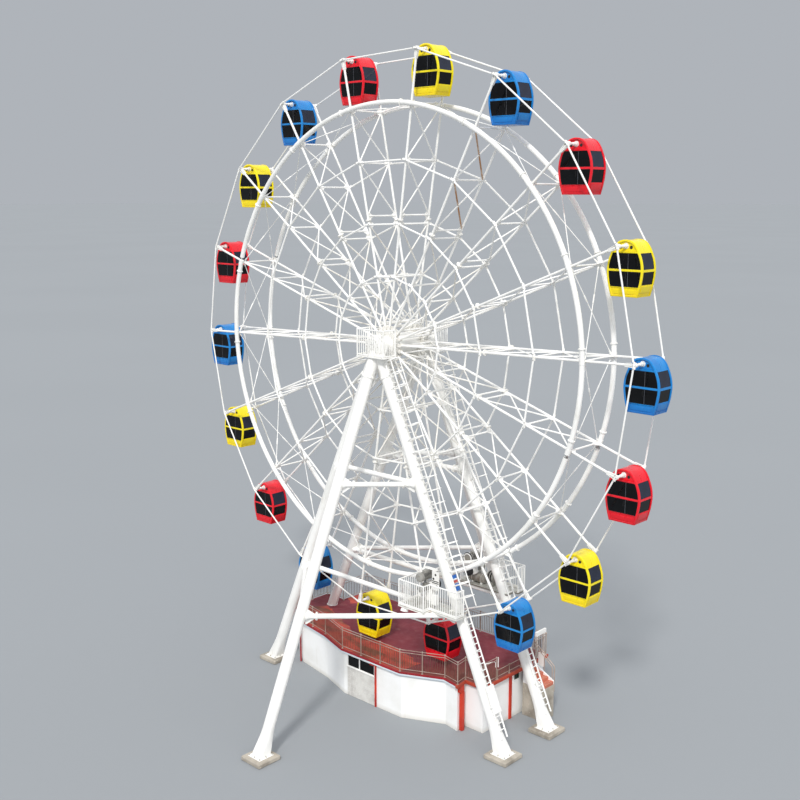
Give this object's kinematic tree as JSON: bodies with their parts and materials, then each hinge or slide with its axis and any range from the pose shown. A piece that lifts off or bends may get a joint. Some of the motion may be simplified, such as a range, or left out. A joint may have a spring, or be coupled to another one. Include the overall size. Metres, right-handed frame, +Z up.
{
  "type": "ferris wheel",
  "caption": "Fairground ferris wheel with closed level cabins on a braced steel wheel, two leaning tripod supports, drive platforms and a railed boarding deck over a room.",
  "frame": {"origin": "on the ground, straight below the middle of the wheel's axle", "axes": "+Z up, +Y along the axle towards the back, +X to the right along the wheel"},
  "size_m": [27.1362, 18.8076, 30.0617],
  "materials": {
    "painted_steel": "satin",
    "platform_steel": "satin",
    "tyre_rubber": "matte",
    "deck_floor": "matte",
    "wall_paint": "matte",
    "rail_steel": "satin",
    "step_brick": "matte",
    "cabin_yellow": "gloss",
    "cabin_blue": "gloss",
    "cabin_red": "gloss"
  },
  "bodies": {
    "supports_and_deck": {"front_left_leg": "painted_steel", "front_right_leg": "painted_steel", "front_stay_leg": "painted_steel", "back_left_leg": "painted_steel", "back_right_leg": "painted_steel", "back_stay_leg": "painted_steel", "front_drive_platform": "platform_steel", "back_drive_platform": "platform_steel", "boarding_deck": "deck_floor", "room_walls": "wall_paint", "deck_railing": "rail_steel", "side_railing": "rail_steel", "steps": "step_brick"},
    "wheel": {"hub_and_axle": "painted_steel", "spoke_frame_01": "painted_steel", "spoke_frame_02": "painted_steel", "spoke_frame_03": "painted_steel", "spoke_frame_04": "painted_steel", "spoke_frame_05": "painted_steel", "spoke_frame_06": "painted_steel", "spoke_frame_07": "painted_steel", "spoke_frame_08": "painted_steel", "spoke_frame_09": "painted_steel", "spoke_frame_10": "painted_steel", "spoke_frame_11": "painted_steel", "spoke_frame_12": "painted_steel", "spoke_frame_13": "painted_steel", "spoke_frame_14": "painted_steel", "spoke_frame_15": "painted_steel", "spoke_frame_16": "painted_steel", "spoke_frame_17": "painted_steel", "spoke_frame_18": "painted_steel", "front_rim": "painted_steel", "front_mid_ring": "painted_steel", "front_inner_ring": "painted_steel", "front_outer_tie": "painted_steel", "back_rim": "painted_steel", "back_mid_ring": "painted_steel", "back_inner_ring": "painted_steel", "back_outer_tie": "painted_steel"},
    "cabin_01_body": {"cabin_01": "cabin_yellow"},
    "cabin_02_body": {"cabin_02": "cabin_blue"},
    "cabin_03_body": {"cabin_03": "cabin_red"},
    "cabin_04_body": {"cabin_04": "cabin_yellow"},
    "cabin_05_body": {"cabin_05": "cabin_blue"},
    "cabin_06_body": {"cabin_06": "cabin_red"},
    "cabin_07_body": {"cabin_07": "cabin_yellow"},
    "cabin_08_body": {"cabin_08": "cabin_blue"},
    "cabin_09_body": {"cabin_09": "cabin_red"},
    "cabin_10_body": {"cabin_10": "cabin_yellow"},
    "cabin_11_body": {"cabin_11": "cabin_blue"},
    "cabin_12_body": {"cabin_12": "cabin_red"},
    "cabin_13_body": {"cabin_13": "cabin_yellow"},
    "cabin_14_body": {"cabin_14": "cabin_blue"},
    "cabin_15_body": {"cabin_15": "cabin_red"},
    "cabin_16_body": {"cabin_16": "cabin_yellow"},
    "cabin_17_body": {"cabin_17": "cabin_blue"},
    "cabin_18_body": {"cabin_18": "cabin_red"},
    "front_tyre_body": {"front_drive_tyre": "tyre_rubber"},
    "back_tyre_body": {"back_drive_tyre": "tyre_rubber"}
  },
  "joints": [
    {"name": "wheel_spin", "type": "hinge", "parent": "supports_and_deck", "child": "wheel", "pos_m": [0, 0, 17.15], "axis": [0, 1, 0], "continuous": true},
    {"name": "cabin_01_swing", "type": "hinge", "parent": "wheel", "child": "cabin_01_body", "pos_m": [1.808, 0, 29.8217], "axis": [0, 1, 0], "continuous": true},
    {"name": "cabin_02_swing", "type": "hinge", "parent": "wheel", "child": "cabin_02_body", "pos_m": [6.0329, 0, 28.4391], "axis": [0, 1, 0], "continuous": true},
    {"name": "cabin_03_swing", "type": "hinge", "parent": "wheel", "child": "cabin_03_body", "pos_m": [9.5302, 0, 25.6949], "axis": [0, 1, 0], "continuous": true},
    {"name": "cabin_04_swing", "type": "hinge", "parent": "wheel", "child": "cabin_04_body", "pos_m": [11.878, 0, 21.9201], "axis": [0, 1, 0], "continuous": true},
    {"name": "cabin_05_swing", "type": "hinge", "parent": "wheel", "child": "cabin_05_body", "pos_m": [12.7931, 0, 17.5699], "axis": [0, 1, 0], "continuous": true},
    {"name": "cabin_06_swing", "type": "hinge", "parent": "wheel", "child": "cabin_06_body", "pos_m": [12.1652, 0, 13.1691], "axis": [0, 1, 0], "continuous": true},
    {"name": "cabin_07_swing", "type": "hinge", "parent": "wheel", "child": "cabin_07_body", "pos_m": [10.07, 0, 9.2484], "axis": [0, 1, 0], "continuous": true},
    {"name": "cabin_08_swing", "type": "hinge", "parent": "wheel", "child": "cabin_08_body", "pos_m": [6.7602, 0, 6.2808], "axis": [0, 1, 0], "continuous": true},
    {"name": "cabin_09_swing", "type": "hinge", "parent": "wheel", "child": "cabin_09_body", "pos_m": [2.635, 0, 4.6242], "axis": [0, 1, 0], "continuous": true},
    {"name": "cabin_10_swing", "type": "hinge", "parent": "wheel", "child": "cabin_10_body", "pos_m": [-1.808, 0, 4.4783], "axis": [0, 1, 0], "continuous": true},
    {"name": "cabin_11_swing", "type": "hinge", "parent": "wheel", "child": "cabin_11_body", "pos_m": [-6.0329, 0, 5.8609], "axis": [0, 1, 0], "continuous": true},
    {"name": "cabin_12_swing", "type": "hinge", "parent": "wheel", "child": "cabin_12_body", "pos_m": [-9.5302, 0, 8.6051], "axis": [0, 1, 0], "continuous": true},
    {"name": "cabin_13_swing", "type": "hinge", "parent": "wheel", "child": "cabin_13_body", "pos_m": [-11.878, 0, 12.3799], "axis": [0, 1, 0], "continuous": true},
    {"name": "cabin_14_swing", "type": "hinge", "parent": "wheel", "child": "cabin_14_body", "pos_m": [-12.7931, 0, 16.7301], "axis": [0, 1, 0], "continuous": true},
    {"name": "cabin_15_swing", "type": "hinge", "parent": "wheel", "child": "cabin_15_body", "pos_m": [-12.1652, 0, 21.1309], "axis": [0, 1, 0], "continuous": true},
    {"name": "cabin_16_swing", "type": "hinge", "parent": "wheel", "child": "cabin_16_body", "pos_m": [-10.07, 0, 25.0516], "axis": [0, 1, 0], "continuous": true},
    {"name": "cabin_17_swing", "type": "hinge", "parent": "wheel", "child": "cabin_17_body", "pos_m": [-6.7602, 0, 28.0192], "axis": [0, 1, 0], "continuous": true},
    {"name": "cabin_18_swing", "type": "hinge", "parent": "wheel", "child": "cabin_18_body", "pos_m": [-2.635, 0, 29.6758], "axis": [0, 1, 0], "continuous": true},
    {"name": "front_tyre_spin", "type": "hinge", "parent": "supports_and_deck", "child": "front_tyre_body", "pos_m": [3.2, -1.15, 6.6988], "axis": [0, 1, 0], "continuous": true},
    {"name": "back_tyre_spin", "type": "hinge", "parent": "supports_and_deck", "child": "back_tyre_body", "pos_m": [3.2, 1.15, 6.6988], "axis": [0, 1, 0], "continuous": true}
  ],
  "couplings": [
    {"joint": "cabin_01_swing", "follows": "wheel_spin", "ratio": -1},
    {"joint": "cabin_02_swing", "follows": "wheel_spin", "ratio": -1},
    {"joint": "cabin_03_swing", "follows": "wheel_spin", "ratio": -1},
    {"joint": "cabin_04_swing", "follows": "wheel_spin", "ratio": -1},
    {"joint": "cabin_05_swing", "follows": "wheel_spin", "ratio": -1},
    {"joint": "cabin_06_swing", "follows": "wheel_spin", "ratio": -1},
    {"joint": "cabin_07_swing", "follows": "wheel_spin", "ratio": -1},
    {"joint": "cabin_08_swing", "follows": "wheel_spin", "ratio": -1},
    {"joint": "cabin_09_swing", "follows": "wheel_spin", "ratio": -1},
    {"joint": "cabin_10_swing", "follows": "wheel_spin", "ratio": -1},
    {"joint": "cabin_11_swing", "follows": "wheel_spin", "ratio": -1},
    {"joint": "cabin_12_swing", "follows": "wheel_spin", "ratio": -1},
    {"joint": "cabin_13_swing", "follows": "wheel_spin", "ratio": -1},
    {"joint": "cabin_14_swing", "follows": "wheel_spin", "ratio": -1},
    {"joint": "cabin_15_swing", "follows": "wheel_spin", "ratio": -1},
    {"joint": "cabin_16_swing", "follows": "wheel_spin", "ratio": -1},
    {"joint": "cabin_17_swing", "follows": "wheel_spin", "ratio": -1},
    {"joint": "cabin_18_swing", "follows": "wheel_spin", "ratio": -1},
    {"joint": "front_tyre_spin", "follows": "wheel_spin", "ratio": -44.521},
    {"joint": "back_tyre_spin", "follows": "wheel_spin", "ratio": -44.521}
  ]
}
